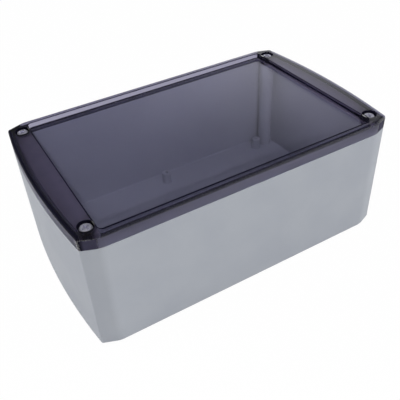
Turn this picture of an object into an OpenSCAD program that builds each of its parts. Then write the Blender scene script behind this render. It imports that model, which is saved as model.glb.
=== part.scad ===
// Sealed electronics enclosure: a grey tub with bowed ends and a clear smoke lid held by four screws.
// Millimetres, +Z up, X along the length. The origin is the middle of the underside.

/* [Body] */
// Length from corner to corner, without the bulge of the ends
corner_length = 190; // [160:1:240]
// Width over the long sides
body_width = 120; // [100:1:160]
// Height of the tub up to the parting line
tub_height = 69; // [45:1:110]
// Bulge of each end beyond its corners
end_bow = 4; // [2:0.5:7]
// Reach of each corner facet along the long side
facet_length = 9.6; // [7:0.2:12]
// Reach of each corner facet across the width
facet_depth = 3.75; // [2.5:0.25:4.5]
// Thickness of the tub walls
wall = 2.8; // [2.4:0.1:3.4]
// Thickness of the floor
floor_thickness = 3; // [2:0.1:5]
// Radius of the lower outside edge
bottom_round = 1.5; // [0.6:0.1:2.4]

/* [Lid] */
// Height of the lid above the parting line
lid_height = 8; // [7.4:0.1:10]
// Radius of the upper outside edge
top_round = 1.8; // [1:0.1:2.4]
// Depth of the sunk window field in the top
recess_depth = 3; // [2:0.1:3.2]
// Thickness of the window
window_thickness = 2.6; // [2:0.1:3]
// Width of the frame along the long sides
frame_width = 4.7; // [4.4:0.1:8]
// Land between the window field and the counterbores
recess_land = 0.6; // [0.4:0.1:3]
// Radius of the window field's corners
recess_round = 2.5; // [1:0.1:4]
// Overhang of the lid's rim inside the tub walls
rim_overhang = 1.4; // [0.8:0.1:2]
// Diameter of the screw bosses under the lid
lid_boss_diameter = 9.6; // [9:0.1:10.5]

/* [Gasket] */
// Width of the gasket in the rim of the lid
gasket_width = 1.5; // [1:0.1:1.6]
// Height of the gasket above the parting line
gasket_height = 4.8; // [3:0.1:5.2]
// Land between the gasket and the inside of the tub walls
gasket_land = 0.2; // [0.1:0.05:0.5]

/* [Screws] */
// Distance of the screws from the corner line of each end
screw_end_inset = 7; // [6.6:0.1:8]
// Distance of the screws from the long sides
screw_side_inset = 10; // [9.6:0.1:12]
// Diameter of the corner pillars
pillar_diameter = 9.5; // [9:0.1:10.5]
// Diameter of the counterbores in the lid
counterbore_diameter = 8; // [7.8:0.1:9]
// Depth of the counterbores in the lid
counterbore_depth = 3.4; // [3:0.1:3.6]
// Diameter of the screw heads
head_diameter = 7.2; // [6.6:0.1:7.4]
// Height of the screw heads
head_height = 2.2; // [1.8:0.1:2.4]
// Diameter of the screw shanks
shank_diameter = 3.4; // [3:0.1:3.6]
// Length of thread inside the inserts
thread_engagement = 6; // [4:0.5:7]
// Width of each arm of the cross recess
cross_width = 0.95; // [0.7:0.05:1.2]
// Span of the cross recess
cross_span = 4.2; // [3.6:0.1:4.6]
// Depth of the cross recess
cross_depth = 1.4; // [1:0.1:1.6]
// Thickness of the sealing washers
seal_thickness = 0.8; // [0.6:0.1:1]

/* [Inserts] */
// Diameter of the threaded inserts
insert_diameter = 6; // [5.6:0.1:6.4]
// Length of the threaded inserts
insert_length = 8; // [7.5:0.5:12]
// Depth of the waist between the knurled bands
waist_depth = 0.25; // [0.1:0.05:0.4]
// Length of the waist between the knurled bands
waist_length = 1.6; // [1:0.1:2.4]
// Depth of the clear hole below each insert
tip_room = 4; // [1:0.5:8]

/* [Board bosses] */
// Distance of the outer board bosses from the screw axes, along the length
boss_end_inset = 10; // [9.4:0.1:16]
// Distance of the board bosses from the long sides
boss_side_inset = 13; // [10:0.5:25]
// Diameter of the board bosses
boss_diameter = 6; // [5:0.1:7]
// Height of the board bosses above the floor
boss_height = 8; // [4:0.5:14]
// Diameter of the pilot holes in the board bosses
boss_hole = 2.6; // [2:0.1:3.2]
// Height of the pilot holes' floor above the inside floor
boss_hole_floor = 1; // [0.5:0.1:2]

/* [Fits] */
// Clearance between curved faces that move past one another
moving_clearance = 0.3; // [0.25:0.05:0.4]
// Depth of the insert below the top of its pillar
insert_sink = 0.2; // [0.1:0.05:0.4]

/* [Hidden] */
$fn = 96;
fine = 360;
lid_top = tub_height + lid_height;
half_width = body_width / 2;
half_corner = corner_length / 2;
half_end = half_width - facet_depth;
bow_radius = (half_end * half_end + end_bow * end_bow) / (2 * end_bow);
bow_centre = half_corner + end_bow - bow_radius;
facet_angle = atan2(facet_depth, facet_length);
facet_reach = (half_corner - facet_length) * sin(facet_angle) + half_width * cos(facet_angle);
screw_x = half_corner - screw_end_inset;
screw_y = half_width - screw_side_inset;
recess_x = screw_x - counterbore_diameter / 2 - recess_land;
recess_y = half_width - frame_width;
recess_floor = lid_top - recess_depth;
window_under = recess_floor - window_thickness;
rim_inset = wall + rim_overhang;
counterbore_floor = lid_top - counterbore_depth;
head_under = counterbore_floor + seal_thickness;
screw_tip = tub_height - thread_engagement;
clear_hole = shank_diameter + 2 * moving_clearance;
lid_hole = clear_hole + 2 * moving_clearance;
insert_top = tub_height - insert_sink;
gasket_inset = wall - gasket_land - gasket_width;
boss_x = screw_x - boss_end_inset;
boss_y = half_width - boss_side_inset;
through = 1;
long = 2 * corner_length;

// Upright slab section from one side to the other, its lower corners rounded
module slab_section(half, low, high, edge_round) {
    difference() {
        translate([-half, low])
            square([2 * half, high - low]);
        if (edge_round > 0)
            for (side = [-1, 1])
                corner_waste(side, half, low, edge_round);
    }
}

// What a rounded corner takes away from a square one
module corner_waste(side, half, level, radius) {
    difference() {
        translate([side * half, level])
            square(2 * radius, center = true);
        translate([side * (half - radius), level + radius])
            circle(radius);
    }
}

// The outline as a block: long sides, corner facets and bowed ends share one rounded lower edge
module outline_block(inset, low, high, edge_round) {
    intersection() {
        rotate([90, 0, 90])
            linear_extrude(height = long, center = true)
                slab_section(half_width - inset, low, high, edge_round);
        facet_slab(inset, low, high, edge_round, 1);
        facet_slab(inset, low, high, edge_round, -1);
        bowed_disc(inset, low, high, edge_round, 1);
        bowed_disc(inset, low, high, edge_round, -1);
    }
}

// Slab whose two faces are one pair of opposite corner facets
module facet_slab(inset, low, high, edge_round, hand) {
    rotate([0, 0, -hand * facet_angle])
        rotate([90, 0, 90])
            linear_extrude(height = long, center = true)
                slab_section(facet_reach - inset, low, high, edge_round);
}

// Large disc whose rim is a bowed end
module bowed_disc(inset, low, high, edge_round, hand) {
    translate([hand * bow_centre, 0, 0])
        rotate_extrude($fn = fine)
            intersection() {
                slab_section(bow_radius - inset, low, high, edge_round);
                translate([0, low - through])
                    square([bow_radius + through, high - low + 2 * through]);
            }
}

// The lid's outside: the same block turned over, so that its upper edge is the rounded one
module lid_block() {
    translate([0, 0, lid_top])
        mirror([0, 0, 1])
            outline_block(0, 0, lid_height, top_round);
}

// Block with straight sides and rounded upright corners
module rounded_block(half_x, half_y, radius, low, high) {
    translate([0, 0, low])
        linear_extrude(height = high - low) {
            square([2 * half_x, 2 * (half_y - radius)], center = true);
            square([2 * (half_x - radius), 2 * half_y], center = true);
            for (x = [-1, 1], y = [-1, 1])
                translate([x * (half_x - radius), y * (half_y - radius)])
                    circle(radius);
        }
}

// Upright cylinder between two levels
module post(diameter, low, high) {
    translate([0, 0, low])
        cylinder(d = diameter, h = high - low);
}

module at_screws() {
    for (x = [-1, 1], y = [-1, 1])
        translate([x * screw_x, y * screw_y, 0])
            children();
}

module at_bosses() {
    for (x = [-boss_x, 0, boss_x], y = [-boss_y, boss_y])
        translate([x, y, 0])
            children();
}

// Corner pillars with their webs, cut back to the middle of the wall
module pillars() {
    intersection() {
        outline_block(wall / 2, floor_thickness / 2, tub_height, 0);
        for (x = [-1, 1], y = [-1, 1])
            translate([x * screw_x, y * screw_y, 0])
                linear_extrude(height = tub_height)
                    pillar_section(x, y);
    }
}

// Round pillar with one web to the end wall and one to the long wall
module pillar_section(x, y) {
    web_length = screw_side_inset + end_bow;
    circle(d = pillar_diameter);
    translate([x * web_length / 2, 0])
        square([web_length, wall], center = true);
    translate([0, y * web_length / 2])
        square([wall, web_length], center = true);
}

// Ring that follows the outline, from a given level up to the top of the gasket
module gasket_ring(low) {
    high = tub_height + gasket_height;
    difference() {
        outline_block(gasket_inset, low, high, 0);
        outline_block(gasket_inset + gasket_width, low - through, high + through, 0);
    }
}

module base_tub() {
    insert_floor = insert_top - insert_length;
    color([0.66, 0.68, 0.70])
        difference() {
            union() {
                difference() {
                    outline_block(0, 0, tub_height, bottom_round);
                    outline_block(wall, floor_thickness, tub_height + through, 0);
                }
                pillars();
                at_bosses()
                    post(boss_diameter, floor_thickness / 2, floor_thickness + boss_height);
            }
            at_screws() {
                post(insert_diameter, insert_floor, tub_height + through);
                post(clear_hole, insert_floor - tip_room, tub_height);
            }
            at_bosses()
                post(boss_hole, floor_thickness + boss_hole_floor, floor_thickness + boss_height + through);
        }
}

// Space under the window and inside the lid's rim, clear of the screw bosses
module lid_hollow() {
    difference() {
        outline_block(rim_inset, tub_height - through, window_under, 0);
        at_screws()
            post(lid_boss_diameter, tub_height - 2 * through, window_under + through);
    }
}

module lid() {
    color([0.30, 0.29, 0.36, 0.45])
        difference() {
            lid_block();
            lid_hollow();
            gasket_ring(tub_height - through);
            rounded_block(recess_x, recess_y, recess_round, recess_floor, lid_top + through);
            at_screws() {
                post(counterbore_diameter, counterbore_floor, lid_top + through);
                post(lid_hole, tub_height - through, lid_top);
            }
        }
}

module lid_gasket() {
    color([0.42, 0.43, 0.45])
        gasket_ring(tub_height);
}

// Pan head screw with a cross recess and a blunt tip
module lid_screw(x, y) {
    head_radius = head_diameter / 2;
    edge = head_height / 3;
    shank_radius = shank_diameter / 2;
    color([0.75, 0.75, 0.76])
        translate([x * screw_x, y * screw_y, head_under])
            difference() {
                union() {
                    translate([0, 0, head_height])
                        mirror([0, 0, 1])
                            rotate_extrude()
                                intersection() {
                                    slab_section(head_radius, 0, head_height, edge);
                                    square([head_radius, head_height]);
                                }
                    translate([0, 0, screw_tip - head_under + shank_radius / 2])
                        cylinder(r = shank_radius, h = head_under - screw_tip - shank_radius / 2);
                    translate([0, 0, screw_tip - head_under])
                        cylinder(r1 = shank_radius / 2, r2 = shank_radius, h = shank_radius / 2);
                }
                for (turn = [45, 135])
                    rotate([0, 0, turn])
                        translate([0, 0, head_height])
                            cube([cross_span, cross_width, 2 * cross_depth], center = true);
            }
}

module screw_seal(x, y) {
    color([0.05, 0.05, 0.06])
        translate([x * screw_x, y * screw_y, counterbore_floor])
            difference() {
                cylinder(d = head_diameter - moving_clearance, h = seal_thickness);
                translate([0, 0, -through])
                    cylinder(d = clear_hole, h = seal_thickness + 2 * through);
            }
}

// Brass insert with a waist between its two knurled bands
module threaded_insert(x, y) {
    color([0.78, 0.62, 0.30])
        translate([x * screw_x, y * screw_y, insert_top - insert_length])
            difference() {
                cylinder(d = insert_diameter, h = insert_length);
                translate([0, 0, -through])
                    cylinder(d = clear_hole, h = insert_length + 2 * through);
                translate([0, 0, (insert_length - waist_length) / 2])
                    difference() {
                        cylinder(d = insert_diameter + through, h = waist_length);
                        translate([0, 0, -through])
                            cylinder(d = insert_diameter - 2 * waist_depth, h = waist_length + 2 * through);
                    }
            }
}

base_tub();
lid();
lid_gasket();
lid_screw(-1, -1);  // lid_screw_front_left
lid_screw(1, -1);  // lid_screw_front_right
lid_screw(-1, 1);  // lid_screw_rear_left
lid_screw(1, 1);  // lid_screw_rear_right
screw_seal(-1, -1);  // screw_seal_front_left
screw_seal(1, -1);  // screw_seal_front_right
screw_seal(-1, 1);  // screw_seal_rear_left
screw_seal(1, 1);  // screw_seal_rear_right
threaded_insert(-1, -1);  // threaded_insert_front_left
threaded_insert(1, -1);  // threaded_insert_front_right
threaded_insert(-1, 1);  // threaded_insert_rear_left
threaded_insert(1, 1);  // threaded_insert_rear_right
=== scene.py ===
import math

import bmesh
import bpy
import numpy as np
from mathutils import Matrix, Vector
from mathutils.geometry import tessellate_polygon


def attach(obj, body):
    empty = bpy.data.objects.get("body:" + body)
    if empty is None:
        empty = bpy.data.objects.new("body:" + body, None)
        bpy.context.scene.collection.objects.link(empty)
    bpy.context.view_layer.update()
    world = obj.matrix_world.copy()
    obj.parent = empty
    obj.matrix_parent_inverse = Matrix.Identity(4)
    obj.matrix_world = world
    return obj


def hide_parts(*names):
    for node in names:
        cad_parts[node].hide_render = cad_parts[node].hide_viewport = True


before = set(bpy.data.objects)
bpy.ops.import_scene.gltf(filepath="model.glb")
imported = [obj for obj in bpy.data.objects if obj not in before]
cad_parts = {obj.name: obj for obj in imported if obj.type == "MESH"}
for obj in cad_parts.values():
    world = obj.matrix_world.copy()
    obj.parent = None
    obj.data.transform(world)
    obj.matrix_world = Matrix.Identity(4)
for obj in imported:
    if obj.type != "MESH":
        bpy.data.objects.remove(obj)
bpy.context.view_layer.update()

mm = 0.001
cornerSigns = {"front_left": (-1, -1), "front_right": (1, -1), "rear_left": (-1, 1), "rear_right": (1, 1)}
print("frame: %d nodes loaded" % len(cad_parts))


# shader wiring

class Wire:
    # one shader socket: arithmetic on wires and numbers adds Math nodes
    def __init__(self, finish, socket):
        self.finish = finish
        self.socket = socket

    def maths(self, operation, first, second):
        return self.finish.node("ShaderNodeMath", {0: first, 1: second}, operation=operation)

    def __add__(self, other):
        return self.maths("ADD", self, other)

    def __mul__(self, other):
        return self.maths("MULTIPLY", self, other)

    def __sub__(self, other):
        return self.maths("SUBTRACT", self, other)

    def __rsub__(self, other):
        return self.maths("SUBTRACT", other, self)

    __radd__ = __add__
    __rmul__ = __mul__


class Finish:
    # one material with its node tree; node() makes any node and hands back a wire
    def __init__(self, name, owner=None):
        self.owner = owner or bpy.data.materials.new(name)
        self.owner.use_nodes = True
        self.tree = self.owner.node_tree
        self.tree.nodes.clear()

    def node(self, kind, sockets=None, out=0, **settings):
        made = self.tree.nodes.new(kind)
        for key, value in settings.items():
            setattr(made, key, value)
        for key, value in (sockets or {}).items():
            if isinstance(value, Wire):
                self.tree.links.new(value.socket, made.inputs[key])
            else:
                made.inputs[key].default_value = value
        return Wire(self, made.outputs[out]) if made.outputs else made

    def place(self):
        return self.node("ShaderNodeTexCoord", out="Object")

    def apart(self, axis):
        # distance from the middle plane across an axis
        part = self.node("ShaderNodeSeparateXYZ", {0: self.place()}, out=axis)
        return self.node("ShaderNodeMath", {0: part}, operation="ABSOLUTE")

    def mark(self, name):
        return self.node("ShaderNodeAttribute", out="Fac", attribute_name=name)

    def grain(self, size, detail=2.0, rough=0.5):
        # soft noise whose lumps are about size millimetres across
        return self.node("ShaderNodeTexNoise", {
            "Vector": self.place(), "Scale": 1 / (size * mm), "Detail": detail, "Roughness": rough})

    def ramp(self, value, low, high):
        # steers a wire from low to high into 0..1
        return self.node("ShaderNodeMapRange", {
            "Value": value, "From Min": low, "From Max": high, "To Min": 0.0, "To Max": 1.0})

    def blendColour(self, share, first, second):
        return self.node("ShaderNodeMix", {"Factor": share, 6: first, 7: second}, out=2, data_type="RGBA")

    def bump(self, height, strength, distance):
        return self.node("ShaderNodeBump", {
            "Height": height, "Strength": strength, "Distance": distance * mm})

    def surface(self, **sockets):
        return self.node("ShaderNodeBsdfPrincipled", {key.replace("_", " "): v for key, v in sockets.items()})

    def mixed(self, share, first, second):
        return self.node("ShaderNodeMixShader", {0: share, 1: first, 2: second})

    def output(self, surface, volume=None):
        ends = {"Surface": surface}
        if volume:
            ends["Volume"] = volume
        self.node("ShaderNodeOutputMaterial", ends)
        return self.owner


def tint(red, green, blue):
    # screen colour 0..255 to linear light
    channels = np.array([red, green, blue]) / 255
    linear = np.where(channels <= 0.04045, channels / 12.92, ((channels + 0.055) / 1.055) ** 2.4)
    return (*linear.tolist(), 1.0)


# mesh building

def gridFaces(rows, columns, wrap=True):
    # quads between neighbouring rows of a grid, the last column joined to the first where it wraps
    row, column = np.meshgrid(np.arange(rows - 1), np.arange(columns if wrap else columns - 1), indexing="ij")
    right = (column + 1) % columns
    return np.stack([row * columns + column, row * columns + right,
                     (row + 1) * columns + right, (row + 1) * columns + column], -1).reshape(-1, 4)


def loft(rings):
    # skin over a stack of closed rings with the same count of points
    rings = np.asarray(rings, float)
    return rings.reshape(-1, 3), gridFaces(rings.shape[0], rings.shape[1]).tolist()


def level(loop, z):
    # flat loop lifted to a height
    return np.column_stack([loop, np.full(len(loop), z)])


def fillLoops(loops, z):
    # flat face between an outer loop and the loops inside it
    lifted = [level(loop, z) for loop in loops]
    triangles = tessellate_polygon([[Vector(p) for p in loop.tolist()] for loop in lifted])
    return np.concatenate(lifted), [list(t) for t in triangles]


def turned(profile, centre, sides=96):
    # profile of radius and height carried round an upright axis
    profile = np.asarray(profile, float)
    turn = np.linspace(0, 2 * math.pi, sides, endpoint=False)
    x = centre[0] + profile[:, :1] * np.cos(turn)
    y = centre[1] + profile[:, :1] * np.sin(turn)
    return np.stack([x, y, np.repeat(profile[:, 1:], sides, 1)], -1)


def tubeWall(radius, turn, z, centre):
    # upright wall whose radius may differ at every turn and height
    return np.stack([centre[0] + radius * np.cos(turn), centre[1] + radius * np.sin(turn), z + 0 * turn], -1)


onward = 9.0  # a point further along a leg of a bend: only the leg's direction counts


def rounded(start, corner, end, radius, steps):
    # quarter bend of a profile: the two legs meet at corner, the bend is tangent to both
    start, corner, end = (np.asarray(p, float) for p in (start, corner, end))
    into = (corner - start) / np.linalg.norm(corner - start)
    outOf = (end - corner) / np.linalg.norm(end - corner)
    swing = np.linspace(0, math.pi / 2, steps + 1)[:, None]
    return corner - into * radius + radius * (into * np.sin(swing) + outOf * (1 - np.cos(swing)))


joining = {"weld": 2e-6, "sharpAngle": 35.0}


def makePiece(name, shells, material, body, nodes):
    # shells of points in millimetres become one welded mesh in metres, in its place
    counts = np.cumsum([0] + [len(points) for points, faces in shells])
    points = np.concatenate([points for points, faces in shells]) * mm
    faces = [[i + start for i in face] for (p, fs), start in zip(shells, counts) for face in fs]
    mesh = bpy.data.meshes.new(name)
    mesh.from_pydata(points.tolist(), [], faces)
    work = bmesh.new()
    work.from_mesh(mesh)
    bmesh.ops.remove_doubles(work, verts=work.verts, dist=joining["weld"])
    bmesh.ops.recalc_face_normals(work, faces=work.faces)
    loose = sum(1 for edge in work.edges if not edge.is_manifold)
    work.to_mesh(mesh)
    work.free()
    mesh.shade_smooth()
    mesh.set_sharp_from_angle(angle=math.radians(joining["sharpAngle"]))
    piece = bpy.data.objects.new(name, mesh)
    bpy.context.scene.collection.objects.link(piece)
    even = piece.modifiers.new("evenShading", "WEIGHTED_NORMAL")
    even.keep_sharp = True
    mesh.materials.append(material)
    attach(piece, body)
    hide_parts(*nodes)
    print("%s: %d faces, %d open edges" % (name, len(mesh.polygons), loose))
    return piece


def spotsOf(mesh):
    # places of the vertices in millimetres
    flat = np.empty(len(mesh.vertices) * 3)
    mesh.vertices.foreach_get("co", flat)
    return flat.reshape(-1, 3) / mm


def setMark(mesh, name, values, domain="POINT"):
    mesh.attributes.new(name, "FLOAT", domain).data.foreach_set("value", values.astype(np.float32))


# outline shared by tub, gasket and lid

outline = {
    "halfWidth": 60.0, "halfCorner": 95.0, "endBow": 4.0, "facetLength": 9.6, "facetDepth": 3.75,
    "cornerRound": 1.2, "breakRound": 12.0, "leastRound": 0.15, "leastBreak": 1.0,
    "bowSteps": 24, "cornerSteps": 8, "facetSteps": 4, "breakSteps": 8, "sideSteps": 26}


def outlineLoop(inset):
    # plan outline moved inwards: bowed end, rounded corner, facet, soft break and long side,
    # worked out for one quarter and mirrored into the other three
    o = outline
    halfEnd = o["halfWidth"] - o["facetDepth"]
    bowRadius = (halfEnd ** 2 + o["endBow"] ** 2) / (2 * o["endBow"])
    bowCentre = np.array([o["halfCorner"] + o["endBow"] - bowRadius, 0.0])
    slope = math.atan2(o["facetDepth"], o["facetLength"])
    across = np.array([math.sin(slope), math.cos(slope)])
    along = np.array([math.cos(slope), -math.sin(slope)])
    reach = (o["halfCorner"] - o["facetLength"]) * across[0] + o["halfWidth"] * across[1]
    facing = math.pi / 2 - slope

    corner = max(o["cornerRound"] - inset, o["leastRound"])
    lift = (reach - inset - corner) * across - bowCentre
    slide = lift @ along
    cornerCentre = bowCentre + lift + along * (
        -slide + math.sqrt(slide ** 2 - lift @ lift + (bowRadius - inset - corner) ** 2))
    bowEnd = math.atan2(*(cornerCentre - bowCentre)[::-1])

    soft = max(o["breakRound"] - inset, o["leastBreak"])
    breakY = o["halfWidth"] - inset - soft
    breakCentre = np.array([(reach - inset - soft - breakY * across[1]) / across[0], breakY])

    def arc(centre, radius, first, last, steps):
        turn = np.linspace(first, last, steps, endpoint=False)[:, None]
        return centre + radius * np.hstack([np.cos(turn), np.sin(turn)])

    def line(first, last, steps):
        return first + (last - first) * np.linspace(0, 1, steps, endpoint=False)[:, None]

    sideStart = breakCentre + np.array([0, soft])
    middle = np.array([0.0, o["halfWidth"] - inset])
    quarter = np.concatenate([
        arc(bowCentre, bowRadius - inset, 0, bowEnd, o["bowSteps"]),
        arc(cornerCentre, corner, bowEnd, facing, o["cornerSteps"]),
        line(cornerCentre + corner * across, breakCentre + soft * across, o["facetSteps"]),
        arc(breakCentre, soft, facing, math.pi / 2, o["breakSteps"]),
        line(sideStart, middle, o["sideSteps"])])
    back = (np.vstack([quarter, middle])[::-1] * [-1, 1])[:-1]
    half = np.concatenate([quarter, back])
    return np.concatenate([half, -half])


def sweepOutline(profile):
    # profile of inset and height carried round the outline
    return np.stack([level(outlineLoop(inset), z) for inset, z in np.asarray(profile, float)])


def rectLoop(halfX, halfY, radius, steps=8):
    # rounded rectangle, corner by corner anticlockwise
    turn = np.linspace(0, math.pi / 2, steps + 1)
    bend = radius * np.column_stack([np.cos(turn), np.sin(turn)])
    corner = bend + [halfX - radius, halfY - radius]
    flip = (corner * [-1, 1])[::-1]
    return np.concatenate([corner, flip, -corner, -flip])


def ringLoop(centre, radius, sides):
    turn = np.linspace(0, 2 * math.pi, sides, endpoint=False)
    return np.asarray(centre) + radius * np.column_stack([np.cos(turn), np.sin(turn)])


def goRound(loop, centre, radius, steps):
    # an anticlockwise loop that runs through a disc is led round the disc's near side instead
    inside = np.flatnonzero(np.hypot(*(loop - centre).T) < radius)
    first, last = inside[0], inside[-1]
    ways = [loop[i] - centre for i in (first - 1, first, last, last + 1)]
    enter = math.atan2(*(ways[0] + ways[1])[::-1])
    leave = math.atan2(*(ways[2] + ways[3])[::-1])
    turn = np.linspace(enter, enter - (enter - leave) % (2 * math.pi), steps)
    arc = centre + radius * np.column_stack([np.cos(turn), np.sin(turn)])
    return np.concatenate([loop[:first], arc, loop[last + 1:]])


screwPlace = {"x": 88.0, "y": 50.0}
screwCentres = {
    key: np.array([sx * screwPlace["x"], sy * screwPlace["y"]]) for key, (sx, sy) in cornerSigns.items()}


# grey satin moulding of the tub

tubLook = {
    "colour": tint(163, 167, 174), "shade": tint(159, 163, 171), "cloudSize": 22.0,
    "grainSize": 0.35, "grainDepth": 0.018, "grainStrength": 0.5,
    "roughness": 0.46, "roughGrain": 0.1, "roughCloud": 0.03, "index": 1.5, "shine": 0.45}


def tubFinish():
    k = tubLook
    f = Finish("satinGreyMoulding")
    cloud = f.ramp(f.grain(k["cloudSize"], 3), 0.35, 0.65)
    fine = f.grain(k["grainSize"], 3, 0.6)
    colour = f.blendColour(cloud, k["colour"], k["shade"])
    roughness = k["roughness"] + f.ramp(fine, 0.3, 0.7) * k["roughGrain"] + cloud * k["roughCloud"]
    return f.output(f.surface(
        Base_Color=colour, Roughness=roughness, IOR=k["index"], Specular_IOR_Level=k["shine"],
        Normal=f.bump(fine, k["grainStrength"], k["grainDepth"])))


# tub: walls with a plain rim, floor, pillars with their webs, and board bosses

tub = {
    "height": 69.0, "wall": 2.8, "floor": 3.0, "bottomRound": 1.5, "rimRound": 0.35, "floorRound": 0.8,
    "capSteps": 6, "buried": 1.5,
    "pillarRadius": 4.75, "pillarEdge": 0.2, "insertRadius": 3.0, "insertEdge": 0.15, "insertFloor": 60.8,
    "tipRadius": 2.0, "tipFloor": 56.8,
    "webTop": 68.6, "webHalf": 1.4, "webReach": 3.4, "webEdge": 0.2, "webToEnd": 3.5, "webToSide": 3.9,
    "bossX": 78.0, "bossY": 47.0, "bossRadius": 3.0, "bossTop": 11.0, "bossEdge": 0.25, "bossSides": 48,
    "bossHole": 1.3, "bossHoleEdge": 0.2, "bossHoleFloor": 4.0, "bossFlare": 0.6, "bossHollow": 0.18}


def flatCap(inset, z, steps):
    # flat closing of the outline: the loop shrinks towards the middle, down to a point
    loop = outlineLoop(inset)
    shares = np.linspace(1, 0, steps + 1)
    return np.stack([level(loop * share, z) for share in shares])


def buildTub():
    t = tub
    top, wall, floor, buried = t["height"], t["wall"], t["floor"], t["buried"]
    outer = np.concatenate([
        rounded((onward, 0), (0, 0), (0, onward), t["bottomRound"], 8),
        rounded((0, 0), (0, top), (onward, top), t["rimRound"], 4),
        rounded((0, top), (wall, top), (wall, 0), t["rimRound"] / 2, 3),
        rounded((wall, top), (wall, floor), (onward, floor), t["floorRound"], 5)])
    shells = [loft(sweepOutline(outer)),
              loft(flatCap(t["bottomRound"], 0, t["capSteps"])),
              loft(flatCap(wall + t["floorRound"], floor, t["capSteps"]))]
    # pillars with a stepped hole for the insert and the screw's tip, and two webs each
    radius, edge, bore, lip = t["pillarRadius"], t["pillarEdge"], t["insertRadius"], t["insertEdge"]
    pillar = [(0, buried), (radius, buried), (radius, top - edge), (radius - edge, top),
              (bore + lip, top), (bore, top - lip), (bore, t["insertFloor"]),
              (t["tipRadius"], t["insertFloor"]), (t["tipRadius"], t["tipFloor"]), (0, t["tipFloor"])]
    for key, (sx, sy) in cornerSigns.items():
        centre = screwCentres[key]
        shells.append(loft(turned(pillar, centre)))
        toEnd = rectLoop(t["webReach"], t["webHalf"], t["webEdge"], 2) + centre + [sx * t["webToEnd"], 0]
        toSide = rectLoop(t["webHalf"], t["webReach"], t["webEdge"], 2) + centre + [0, sy * t["webToSide"]]
        for web in (toEnd, toSide):
            shells.append(loft([level(web, buried), level(web, t["webTop"])]))
            shells += [fillLoops([web], z) for z in (buried, t["webTop"])]
    # board bosses with a flared foot and a screw hole
    radius, flare, hollow = t["bossRadius"], t["bossFlare"], t["bossHollow"]
    bossTop, hole, edge = t["bossTop"], t["bossHole"], t["bossHoleEdge"]
    boss = np.concatenate([
        [(0, buried), (radius + flare, buried), (radius + flare, floor)],
        [(radius + hollow, floor + hollow), (radius, floor + flare)],
        rounded((radius, 0), (radius, bossTop), (0, bossTop), t["bossEdge"], 3),
        [(hole + edge, bossTop), (hole, bossTop - edge)],
        [(hole, t["bossHoleFloor"]), (0, t["bossHoleFloor"])]])
    for x in (-t["bossX"], 0, t["bossX"]):
        for y in (-t["bossY"], t["bossY"]):
            shells.append(loft(turned(boss, (x, y), t["bossSides"])))
    makePiece("tub_shell", shells, tubFinish(), "tub", ["base_tub"])


# moulded gasket strip in the groove of the lid's rim

gasket = {
    "from": 1.14, "to": 2.56, "low": 69.02, "top": 73.0, "crown": 0.3,
    "colour": tint(50, 50, 72), "shade": tint(45, 45, 64), "mottleSize": 3.0,
    "poreSize": 0.28, "poreDepth": 0.05,
    # the last three: painted shade, a near-black colour on the strip behind the facets
    "paintedShadeX": (0.085, 0.087), "paintedShadeY": (0.0525, 0.0545), "paintedShadeColour": tint(14, 14, 22)}


def gasketFinish():
    g = gasket
    f = Finish("foamedGasket")
    pores = f.node("ShaderNodeTexVoronoi", {"Vector": f.place(), "Scale": 1 / (g["poreSize"] * mm)})
    mottle = f.ramp(f.grain(g["mottleSize"], 3), 0.3, 0.7)
    colour = f.blendColour(mottle, g["colour"], g["shade"])
    # painted shade: the strip is coloured darker behind the facets, where the screw bosses stand close to it
    corner = f.ramp(f.apart("X"), *g["paintedShadeX"]) * f.ramp(f.apart("Y"), *g["paintedShadeY"])
    colour = f.blendColour(corner, colour, g["paintedShadeColour"])
    return f.output(f.surface(
        Base_Color=colour, Roughness=0.78 + mottle * 0.1, Normal=f.bump(pores, 0.6, g["poreDepth"])))


def buildGasket():
    g = gasket
    profile = np.concatenate([
        [(g["from"], g["low"])],
        rounded((g["from"], g["low"]), (g["from"], g["top"]), (g["to"], g["top"]), g["crown"], 5),
        rounded((g["from"], g["top"]), (g["to"], g["top"]), (g["to"], g["low"]), g["crown"], 5),
        [(g["to"], g["low"]), (g["from"], g["low"])]])
    makePiece("gasket_cord", [loft(sweepOutline(profile))], gasketFinish(),
              "lid", ["lid_gasket"])


# clear smoke lid: one closed skin with sunk window, counterbores and a thick rim

lid = {
    "low": 69.08, "top": 77.0, "topRound": 1.8, "lowRound": 0.25,
    "recessX": 83.4, "recessY": 55.3, "recessRound": 2.5, "recessFloor": 74.0,
    "edgeRound": 0.95, "hollowRound": 0.5, "edgeDepth": 2.4, "edgeLine": 0.7,
    "windowUnder": 71.4, "rimWidth": 4.2, "bossRadius": 4.8, "bossSteps": 40,
    "grooveFrom": 1.1, "grooveTo": 2.6, "grooveTop": 73.1,
    "boreRadius": 4.0, "boreFloor": 73.6, "boreEdge": 0.2, "boreSides": 72, "holeRadius": 2.3,
    "facetFrom": 86.5, "facetTo": 95.3}

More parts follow.
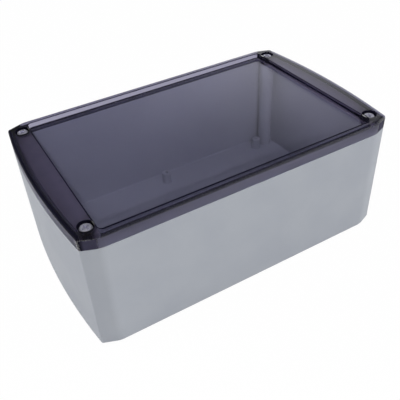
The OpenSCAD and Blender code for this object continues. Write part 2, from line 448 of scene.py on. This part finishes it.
lidLook = {
    "absorb": (0.05, 0.0, 0.3, 1.0), "density": 138.0, "shadowClear": (1.0, 1.0, 1.0, 1.0), "index": 1.585,
    "roughness": 0.012, "roughHaze": 0.02, "hazeSize": 9.0, "rippleSize": 26.0, "frost": 0.12,
    "veil": tint(186, 181, 177), "veilShade": tint(178, 174, 171),
    "veilX": (0.0830, 0.0836), "veilShare": 0.6,
    "satin": tint(92, 90, 124), "satinShade": tint(85, 83, 116), "satinThrough": (0.57, 0.57, 0.68, 1.0),
    "satinShare": 0.5, "satinPass": 0.75, "satinBend": 0.4, "satinEnd": 1.3,
    # the edge colours: painted shade, near-black for the walls of the sunk field, the counterbores, the left
    # end's rounding and a line on the frame's top
    "edge": tint(14, 13, 26), "edgeShadeLight": tint(20, 19, 34), "edgeDriftSize": 14.0,
    # the groove colours: painted shade, dark grey on the groove's walls behind the facets and the ends, black
    # at the corner
    "groove": tint(57, 55, 73), "grooveShade": tint(47, 45, 62), "grooveX": (0.0925, 0.0940),
    "endGrooveShade": tint(60, 67, 77), "endGrooveX": (0.0940, 0.0965), "grooveDriftSize": 11.0}

# where the lid's faces with the satin finish or with painted shade lie, and how far their normals lean
lidFaces = {
    "outerSkin": 0.02, "bendSlack": 0.05, "wallFacing": -0.5, "flatFacing": 0.996, "levelFacing": 0.9,
    "boreSlack": 0.1, "topSlack": 0.01, "underSlack": 0.1, "grooveShift": 1.0, "grooveY": (52.0, 59.3),
    "grooveInset": (0.9, 2.8), "endShift": 2.0, "endSlack": 0.2}


def lidFinish():
    k = lidLook
    f = Finish("clearSmokePolycarbonate")
    haze = f.ramp(f.grain(k["hazeSize"], 4), 0.4, 0.75)
    ripple = f.grain(k["rippleSize"], 1)
    roughness = k["roughness"] + haze * k["roughHaze"] + f.mark("frosted") * k["frost"]
    glass = f.surface(
        Base_Color=(1.0, 1.0, 1.0, 1.0), Roughness=roughness, IOR=k["index"], Transmission_Weight=1.0,
        Normal=f.bump(ripple, 0.05, 0.02))
    # underside of the end fields: a satin texture that veils what lies under it
    endField = f.ramp(f.apart("X"), *k["veilX"]) * f.mark("underside")
    veil = f.surface(
        Base_Color=f.blendColour(haze, k["veil"], k["veilShade"]), Roughness=0.9, Specular_IOR_Level=0.0)
    skin = f.mixed(endField * k["veilShare"], glass, veil)
    # satin of the long sides and the ends, which hides what lies behind them
    grey = f.surface(
        Base_Color=f.blendColour(haze, k["satin"], k["satinShade"]), Roughness=0.9, Specular_IOR_Level=0.1)
    through = f.node("ShaderNodeBsdfTranslucent", {"Color": k["satinThrough"]})
    satin = f.mixed(k["satinPass"], grey, through)
    skin = f.mixed(f.mark("satin") * k["satinShare"], skin, satin)
    # lamp light on its way through the lid is dimmed by the smoke alone
    clear = f.node("ShaderNodeBsdfTransparent", {"Color": k["shadowClear"]})
    both = f.mixed(f.node("ShaderNodeLightPath", out="Is Shadow Ray"), skin, clear)
    smoke = f.node("ShaderNodeVolumeAbsorption", {"Color": k["absorb"], "Density": k["density"]})
    return f.output(both, smoke)


def markFrosted(piece):
    # frosted: 1 on the upright outer faces, which the mould leaves satin, 0 on the facets and the rest
    # satin: the same, with a share on the top bend of the long sides and more on the ends
    spots = spotsOf(piece.data)
    x, y = spots[:, :1], spots[:, 1:2]
    # inside the outline: a ray to the right crosses the outline an odd number of times
    x0, y0 = outlineLoop(lidFaces["outerSkin"]).T
    x1, y1 = np.roll(x0, -1), np.roll(y0, -1)
    rise = np.where(y1 == y0, 1e-9, y1 - y0)
    crosses = ((y0 > y) != (y1 > y)) & (x < x0 + (y - y0) * (x1 - x0) / rise)
    inside = crosses.sum(1) % 2 == 1
    along, across = np.abs(spots[:, :2]).T
    facet = (along > lid["facetFrom"]) & (along < lid["facetTo"])
    share = np.where(inside | facet, 0.0, 1.0)
    bend = ((across > outline["halfWidth"] - lid["topRound"] - lidFaces["bendSlack"])
            & (spots[:, 2] > lid["top"] - lid["topRound"]))
    onSide = np.maximum(share, bend * lidLook["satinBend"])
    satin = np.where(along < lid["facetFrom"], onSide, share * lidLook["satinEnd"])
    setMark(piece.data, "satin", satin)
    setMark(piece.data, "frosted", share)


def paintedEdgeShade():
    # painted shade: near-black colour for the walls where the light caught in the frame leaves the plastic
    # almost black
    f = Finish("paintedShadeEdge")
    drift = f.ramp(f.grain(lidLook["edgeDriftSize"], 3), 0.35, 0.7)
    colour = f.blendColour(drift, lidLook["edge"], lidLook["edgeShadeLight"])
    return f.output(f.surface(Base_Color=colour, Roughness=0.5 + drift * 0.1, Specular_IOR_Level=0.06))


def paintedGrooveShade():
    # painted shade on the walls of the gasket's groove: dark grey behind the facets, black at the corner, a
    # lighter grey behind the ends
    f = Finish("paintedShadeGroove")
    drift = f.ramp(f.grain(lidLook["grooveDriftSize"], 3), 0.35, 0.7)
    apart = f.apart("X")
    colour = f.blendColour(drift, lidLook["groove"], lidLook["grooveShade"])
    colour = f.blendColour(f.ramp(apart, *lidLook["grooveX"]), colour, lidLook["edge"])
    colour = f.blendColour(f.ramp(apart, *lidLook["endGrooveX"]), colour, lidLook["endGrooveShade"])
    return f.output(f.surface(Base_Color=colour, Roughness=0.6 + drift * 0.1, Specular_IOR_Level=0.06))


# picks the lid's faces that get painted shade, and marks the underside
def shadeEdge(piece):
    k = lidFaces
    mesh = piece.data
    middles, facing = np.empty(len(mesh.polygons) * 3), np.empty(len(mesh.polygons) * 3)
    mesh.polygons.foreach_get("center", middles)
    mesh.polygons.foreach_get("normal", facing)
    middles, facing = middles.reshape(-1, 3) / mm, facing.reshape(-1, 3)
    x, y, z = middles.T
    along, across = np.abs(middles[:, :2]).T
    upright = np.abs(facing[:, 2]) < k["levelFacing"]
    leaning = np.abs(facing[:, 2]) < k["flatFacing"]
    inGroove = upright & (z < lid["grooveTop"])
    # painted shade: left and front walls of the sunk field, and the counterbores' walls, are coloured
    # near-black
    reach = np.array([lid["recessX"], lid["recessY"]]) + lid["edgeRound"]
    near = (np.abs(middles[:, :2]) < reach).all(1) & (z > lid["top"] - lid["edgeDepth"])
    paintedDark = near & (facing[:, :2] > k["wallFacing"]).all(1)
    for centre in screwCentres.values():
        far = np.hypot(*(middles[:, :2] - centre).T)
        paintedDark |= ((far < lid["boreRadius"] + lid["boreEdge"]) & (far > lid["boreRadius"] - k["boreSlack"])
                 & (z > lid["boreFloor"]))
    paintedDark &= leaning
    # painted shade: a near-black line on the frame's top along the front of the sunk field
    line = lid["recessY"] + lid["edgeRound"]
    paintedDark |= ((y < -line) & (y > -line - lid["edgeLine"]) & (along < lid["recessX"])
             & (z > lid["top"] - k["topSlack"]))
    # painted shade: the groove's walls behind the facets are coloured dark grey
    behind = (along > lid["facetFrom"] - k["grooveShift"]) & (along < lid["facetTo"] - k["grooveShift"])
    dull = inGroove & behind & (across > k["grooveY"][0]) & (across < k["grooveY"][1])
    # at the ends, by each face's inset from the bow: painted shade on the groove walls, and near-black
    # painted shade on the edge rounding on the left
    halfEnd = outline["halfWidth"] - outline["facetDepth"]
    bow = (halfEnd ** 2 + outline["endBow"] ** 2) / (2 * outline["endBow"])
    inset = bow - np.hypot(along + bow - outline["halfCorner"] - outline["endBow"], across)
    atEnd = (along > lid["facetTo"] - k["endShift"]) & (across < halfEnd - k["endSlack"])
    dull |= atEnd & inGroove & (inset > k["grooveInset"][0]) & (inset < k["grooveInset"][1])
    paintedDark |= atEnd & leaning & (x < 0) & (inset < lid["topRound"]) & (z > lid["top"] - lid["topRound"])
    under = (facing[:, 2] < -k["levelFacing"]) & (z < lid["windowUnder"] + k["underSlack"])
    setMark(mesh, "underside", under, "FACE")
    mesh.materials.append(paintedEdgeShade())
    mesh.materials.append(paintedGrooveShade())
    mesh.polygons.foreach_set("material_index", np.where(dull, 2, paintedDark).astype(np.int32))
    mesh.update()


def buildLid():
    d = lid
    low, top = d["low"], d["top"]
    centres = list(screwCentres.values())
    edge, hollow = d["edgeRound"], d["hollowRound"]
    boreTop = d["boreRadius"] + d["boreEdge"]

    def recessLoop(grow):
        return rectLoop(d["recessX"] + grow, d["recessY"] + grow, d["recessRound"] + grow)

    hollowLoop = outlineLoop(d["rimWidth"])
    for centre in centres:
        hollowLoop = goRound(hollowLoop, centre, d["bossRadius"], d["bossSteps"])

    groove = [(d["grooveTo"], low), (d["grooveTo"], d["grooveTop"]),
              (d["grooveFrom"], d["grooveTop"]), (d["grooveFrom"], low)]
    skirt = np.concatenate([
        groove,
        rounded((onward, low), (0, low), (0, top), d["lowRound"], 3),
        rounded((0, low), (0, top), (onward, top), d["topRound"], 10)])
    wallOfRecess = np.concatenate([
        [(edge + d["edgeLine"], top)],
        rounded((onward, top), (0, top), (0, 0), edge, 6),
        [(0, top - d["edgeDepth"])],
        rounded((0, top), (0, d["recessFloor"]), (-onward, d["recessFloor"]), hollow, 4)])
    bore = np.concatenate([
        rounded((onward, top), (d["boreRadius"], top), (d["boreRadius"], 0), d["boreEdge"], 4),
        [(d["boreRadius"], d["boreFloor"]), (d["holeRadius"], d["boreFloor"]), (d["holeRadius"], low)]])

    shells = [loft(sweepOutline(skirt)),
              loft([level(recessLoop(grow), z) for grow, z in wallOfRecess]),
              loft([level(hollowLoop, z) for z in (low, d["windowUnder"])])]
    shells += [loft(turned(bore, centre, d["boreSides"])) for centre in centres]
    bores = [ringLoop(centre, boreTop, d["boreSides"]) for centre in centres]
    holes = [ringLoop(centre, d["holeRadius"], d["boreSides"]) for centre in centres]
    shells.append(fillLoops([outlineLoop(d["topRound"]), recessLoop(edge + d["edgeLine"])] + bores, top))
    shells.append(fillLoops([recessLoop(-hollow)], d["recessFloor"]))
    shells.append(fillLoops([outlineLoop(d["grooveTo"]), hollowLoop] + holes, low))
    shells.append(fillLoops([hollowLoop], d["windowUnder"]))
    piece = makePiece("lid_shell", shells, lidFinish(), "lid", ["lid"])
    markFrosted(piece)
    shadeEdge(piece)


# stainless pan head screws with a cross recess and a cut thread

screw = {
    "headLow": 74.4, "headTop": 76.3, "headRadius": 3.35, "edgeRound": 0.8, "underEdge": 0.15, "crown": 0.25,
    "headRows": 84, "headSides": 224,
    "crossHalfWidth": 0.52, "crossHalfSpan": 2.15, "crossDepth": 1.35, "crossBlend": 0.14,
    "coreRadius": 1.55, "threadRadius": 1.88, "pitch": 0.7, "tip": 63.0, "shankIn": 0.1,
    "threadRows": 300, "threadSides": 40, "flankGain": 1.25, "flankDrop": 0.1,
    "tipLength": 1.2, "tipBend": 0.7, "tipShare": 0.6, "runOut": 0.6,
    "turns": {"front_left": 22.0, "front_right": 64.0, "rear_left": 40.0, "rear_right": 8.0},
    "colour": tint(216, 215, 230), "shade": tint(172, 172, 186), "smearSize": 1.1, "metal": 0.65,
    "ringPitch": 26.0, "ringSlope": 0.5}


def screwFinish():
    s = screw
    f = Finish("brightStainless")
    rings = f.node("ShaderNodeTexNoise", {
        "W": f.mark("turning") * s["ringPitch"], "Scale": 1.0, "Detail": 3.0}, noise_dimensions="1D")
    smear = f.ramp(f.grain(s["smearSize"], 3), 0.35, 0.7)
    colour = f.blendColour(smear, s["colour"], s["shade"])
    roughness = 0.2 + smear * 0.1 + f.ramp(rings, 0.3, 0.7) * 0.08
    return f.output(f.surface(
        Base_Color=colour, Metallic=s["metal"], Roughness=roughness, Normal=f.bump(rings, 0.25, 0.02)))


def screwHead(centre, spin):
    # head as a polar height field: flat disc with a low crown, rounded edge and a cross sunk into it
    s = screw
    share = np.linspace(0, 1, s["headRows"])[:, None]
    turn = np.linspace(0, 2 * math.pi, s["headSides"], endpoint=False)[None, :]
    radius = share * s["headRadius"] + 0 * turn
    x, y = radius * np.cos(turn), radius * np.sin(turn)
    past = np.clip(radius - (s["headRadius"] - s["edgeRound"]), 0, s["edgeRound"])
    z = s["headTop"] - s["crown"] * share ** 2 - (s["edgeRound"] - np.sqrt(s["edgeRound"] ** 2 - past ** 2))
    angle = math.radians(spin)
    u = x * math.cos(angle) + y * math.sin(angle)
    v = y * math.cos(angle) - x * math.sin(angle)

    def arm(across, along):
        side = np.clip((s["crossHalfWidth"] - np.abs(across)) / s["crossBlend"] + 0.5, 0, 1)
        end = np.clip((s["crossHalfSpan"] - np.abs(along)) / (4 * s["crossBlend"]) + 0.5, 0, 1)
        return side * end

    z = z - s["crossDepth"] * np.maximum(arm(u, v), arm(v, u))
    return np.stack([x + centre[0], y + centre[1], z], -1)


def screwThread(centre):
    # shank as a cylinder whose radius follows a saw wave that climbs one pitch per turn
    s = screw
    z = np.linspace(s["tip"], s["headLow"] + s["shankIn"], s["threadRows"])[:, None]
    turn = np.linspace(0, 2 * math.pi, s["threadSides"], endpoint=False)[None, :]
    wave = np.abs(((z / s["pitch"] - turn / (2 * math.pi)) % 1.0) * 2 - 1)
    flank = np.clip(wave * s["flankGain"] - s["flankDrop"], 0, 1)
    lead = np.clip((z - s["tip"]) / s["tipLength"], 0, 1) ** s["tipBend"]
    run = np.clip((s["headLow"] - z) / s["runOut"], 0, 1)
    core = s["coreRadius"] * (s["tipShare"] + (1 - s["tipShare"]) * lead)
    return tubeWall(core + (s["threadRadius"] - s["coreRadius"]) * flank * lead * run, turn, z, centre)


def buildScrews():
    s = screw
    finish = screwFinish()
    low, edge = s["headLow"], s["underEdge"]
    edgeLow = s["headTop"] - s["crown"] - s["edgeRound"]
    section = [(s["headRadius"], edgeLow), (s["headRadius"], low + edge), (s["headRadius"] - edge, low),
               (s["coreRadius"], low), (0, low)]
    for key, centre in screwCentres.items():
        head = screwHead(centre, s["turns"][key])
        side = turned(section, centre, s["headSides"])
        thread = screwThread(centre)
        tipEnd = np.stack([thread[0], thread[0] * 0 + [*centre, s["tip"]]])
        topEnd = np.stack([thread[-1], thread[-1] * 0 + [*centre, low + s["shankIn"]]])
        shells = [loft(rings) for rings in (head, side, thread, tipEnd, topEnd)]
        piece = makePiece("screw_" + key, shells, finish,
                          "screw_" + key, ["lid_screw_" + key])
        # turning marks run round the axis: their place is the radius plus a share of the depth
        spots = spotsOf(piece.data)
        far = np.hypot(*(spots[:, :2] - centre).T) + (s["headTop"] - spots[:, 2]) * s["ringSlope"]
        setMark(piece.data, "turning", far)


# black sealing washers under the heads

seal = {
    "low": 73.62, "top": 74.38, "inner": 2.02, "outer": 3.43, "round": 0.22, "sides": 72,
    "colour": tint(26, 26, 28), "bloom": tint(46, 46, 49), "bloomSize": 0.8, "grainSize": 0.12}


def sealFinish():
    s = seal
    f = Finish("blackSealRubber")
    bloom = f.ramp(f.grain(s["bloomSize"], 3), 0.45, 0.8)
    colour = f.blendColour(bloom, s["colour"], s["bloom"])
    return f.output(f.surface(
        Base_Color=colour, Roughness=0.5 + bloom * 0.2, Normal=f.bump(f.grain(s["grainSize"], 2), 0.3, 0.01)))


def buildSeals():
    s = seal
    r = s["round"]
    section = np.concatenate([
        rounded((s["inner"], s["top"]), (s["inner"], s["low"]), (s["outer"], s["low"]), r, 4),
        rounded((s["inner"], s["low"]), (s["outer"], s["low"]), (s["outer"], s["top"]), r, 4),
        rounded((s["outer"], s["low"]), (s["outer"], s["top"]), (s["inner"], s["top"]), r, 4),
        rounded((s["outer"], s["top"]), (s["inner"], s["top"]), (s["inner"], s["low"]), r, 4)])
    section = np.vstack([section, section[:1]])
    finish = sealFinish()
    for key, centre in screwCentres.items():
        makePiece("seal_" + key, [loft(turned(section, centre, s["sides"]))], finish,
                  "seal_" + key, ["screw_seal_" + key])


# knurled brass inserts in the pillars

insert = {
    "low": 60.8, "top": 68.8, "radius": 2.97, "edge": 0.2, "rimInset": 0.05,
    "knurlDepth": 0.14, "knurls": 24, "knurlSlant": 0.5, "waistDepth": 0.25, "waistHalf": 0.8,
    "bore": 2.16, "boreEdge": 0.12, "threadDepth": 0.13, "pitch": 0.7, "rows": 72, "sides": 192,
    "colour": tint(214, 176, 98), "tarnish": tint(176, 136, 70), "tarnishSize": 1.6, "grainSize": 0.2}


def insertFinish():
    i = insert
    f = Finish("turnedBrass")
    tarnish = f.ramp(f.grain(i["tarnishSize"], 4), 0.4, 0.75)
    colour = f.blendColour(tarnish, i["colour"], i["tarnish"])
    return f.output(f.surface(
        Base_Color=colour, Metallic=1.0, Roughness=0.26 + tarnish * 0.16,
        Normal=f.bump(f.grain(i["grainSize"], 2), 0.2, 0.01)))


def buildInserts():
    i = insert
    finish = insertFinish()
    turn = np.linspace(0, 2 * math.pi, i["sides"], endpoint=False)[None, :]
    z = np.linspace(i["low"] + i["edge"], i["top"] - i["edge"], i["rows"])[:, None]
    middle = (i["low"] + i["top"]) / 2
    # knurl: ridges that slant one way above the waist and the other way below it
    slant = np.sign(z - middle) * z * i["knurlSlant"]
    ridge = np.abs(((turn * i["knurls"] / (2 * math.pi) + slant) % 1.0) * 2 - 1)
    knurled = i["radius"] - i["knurlDepth"] * (1 - ridge)
    outer = np.where(np.abs(z - middle) < i["waistHalf"], i["radius"] - i["waistDepth"], knurled)
    # bore: radius follows a saw wave that climbs one pitch per turn
    wave = np.abs(((z / i["pitch"] - turn / (2 * math.pi)) % 1.0) * 2 - 1)
    inner = i["bore"] - i["threadDepth"] * wave
    rimOuter, rimInner = i["radius"] - i["knurlDepth"] - i["rimInset"], i["bore"] + i["boreEdge"]
    rim = [(rimOuter, i["top"]), (rimInner, i["top"])]
    rimLow = [(rimInner, i["low"]), (rimOuter, i["low"])]
    for key, centre in screwCentres.items():
        outside = tubeWall(outer, turn, z, centre)
        inside = tubeWall(inner, turn, z, centre)[::-1]
        skin = np.concatenate([outside, turned(rim, centre, i["sides"]), inside,
                               turned(rimLow, centre, i["sides"]), outside[:1]])
        makePiece("insert_" + key, [loft(skin)], finish, "tub", ["threaded_insert_" + key])


buildTub()
buildGasket()
buildLid()
buildScrews()
buildSeals()
buildInserts()
print("pieces: built")

# camera, floor and light

shot = {
    "place": (-0.13378, -0.24493, 0.24442), "azimuth": 28.714, "elevation": 38.959, "roll": -3.239,
    "lens": 49.804, "sensor": 36.0, "clip": (0.01, 50.0)}


def buildCamera():
    az, el, roll = (math.radians(shot[k]) for k in ("azimuth", "elevation", "roll"))
    ahead = Vector((math.sin(az) * math.cos(el), math.cos(az) * math.cos(el), -math.sin(el)))
    level0 = ahead.cross(Vector((0, 0, 1))).normalized()
    rise0 = level0.cross(ahead)
    right = level0 * math.cos(roll) + rise0 * math.sin(roll)
    rise = right.cross(ahead)
    data = bpy.data.cameras.new("shotCamera")
    data.sensor_width = shot["sensor"]
    data.lens = shot["lens"]
    data.clip_start, data.clip_end = shot["clip"]
    camera = bpy.data.objects.new("shotCamera", data)
    bpy.context.scene.collection.objects.link(camera)
    turn = Matrix((right, rise, -ahead)).transposed().to_4x4()
    camera.matrix_world = Matrix.Translation(shot["place"]) @ turn
    bpy.context.scene.camera = camera


studio = {
    "backdrop": 1.0, "ceiling": 0.1, "backdropColour": (0.96, 0.97, 1.0, 1.0),
    "backdropTop": 0.42, "ceilingFrom": 0.56, "sideFrom": 0.22, "sideTo": 0.6,
    "floorColour": (0.86, 0.86, 0.86, 1.0), "floorWhite": 0.98, "floorShine": 0.3,
    "floorReach": 3.0, "floorPoints": 13, "floorDrop": 0.0004, "aim": (0.0, 0.0, 0.04),
    "lamps": {
        "keyLamp": {"place": (-0.47, -1.48, 1.25), "size": 0.02, "power": 13.5, "mirrored": True},
        "rightLamp": {"place": (1.0, -0.7, 0.6), "size": 0.7, "power": 6.3, "mirrored": False},
        "leftLamp": {"place": (-1.1, 0.55, 0.6), "size": 0.7, "power": 10.0, "mirrored": False},
        "topLamp": {"place": (-0.1, -0.1, 1.5), "size": 0.8, "power": 4.8, "mirrored": False}}}


def seenWhite(f):
    # 1 for rays that look at the floor straight or through clear plastic, a share for mirrored ones
    look = f.node("ShaderNodeLightPath", out="Is Camera Ray")
    shine = f.node("ShaderNodeLightPath", out="Is Glossy Ray")
    through = f.node("ShaderNodeLightPath", out="Is Transmission Ray")
    seen = look + shine * studio["floorShine"] + through
    return f.node("ShaderNodeMath", {0: seen, 1: 1.0}, operation="MINIMUM")


def buildStudio():
    scene = bpy.context.scene
    scene.view_settings.view_transform = "Standard"
    world = bpy.data.worlds.new("studioWorld")
    scene.world = world
    f = Finish("studioWorld", world)
    # white backdrop on the right that gives way to a dim room above and to the left;
    # the camera itself sees white
    look = f.node("ShaderNodeLightPath", out="Is Camera Ray")
    way = f.node("ShaderNodeTexCoord", out="Generated")
    height = f.node("ShaderNodeSeparateXYZ", {0: way}, out="Z")
    aside = f.node("ShaderNodeSeparateXYZ", {0: way}, out="X")
    beside = f.ramp(aside, studio["sideFrom"], studio["sideTo"])
    below = f.ramp(height, studio["ceilingFrom"], studio["backdropTop"])
    white = f.node("ShaderNodeMath", {0: beside * below, 1: look}, operation="MAXIMUM")
    power = studio["ceiling"] + white * (studio["backdrop"] - studio["ceiling"])
    back = f.node("ShaderNodeBackground", {"Color": studio["backdropColour"], "Strength": power})
    f.node("ShaderNodeOutputWorld", {"Surface": back})

    g = Finish("paleFloor")
    dull = g.node("ShaderNodeBsdfDiffuse", {"Color": studio["floorColour"]})
    glow = g.node("ShaderNodeEmission", {"Color": (1, 1, 1, 1), "Strength": 1.0})
    mixed = g.mixed(seenWhite(g) * studio["floorWhite"], dull, glow)
    reach, count = studio["floorReach"], studio["floorPoints"]
    x, y = np.meshgrid(np.linspace(-reach, reach, count), np.linspace(-reach, reach, count))
    points = np.stack([x, y, np.full_like(x, -studio["floorDrop"])], -1).reshape(-1, 3)
    mesh = bpy.data.meshes.new("paleFloor")
    mesh.from_pydata(points.tolist(), [], gridFaces(count, count, False).tolist())
    mesh.materials.append(g.output(mixed))
    floor = bpy.data.objects.new("paleFloor", mesh)
    scene.collection.objects.link(floor)

    for name, lamp in studio["lamps"].items():
        light = bpy.data.lights.new(name, "AREA")
        light.shape = "DISK"
        light.size = lamp["size"]
        light.energy = lamp["power"]
        holder = bpy.data.objects.new(name, light)
        scene.collection.objects.link(holder)
        holder.location = lamp["place"]
        # no lamp disc stands in the window: the soft lamps aren't mirrored, and none shows through the lid
        holder.visible_glossy = lamp["mirrored"]
        holder.visible_transmission = False
        towards = Vector(studio["aim"]) - Vector(lamp["place"])
        holder.rotation_euler = towards.to_track_quat("-Z", "Y").to_euler()


buildCamera()
buildStudio()
print("studio: set")
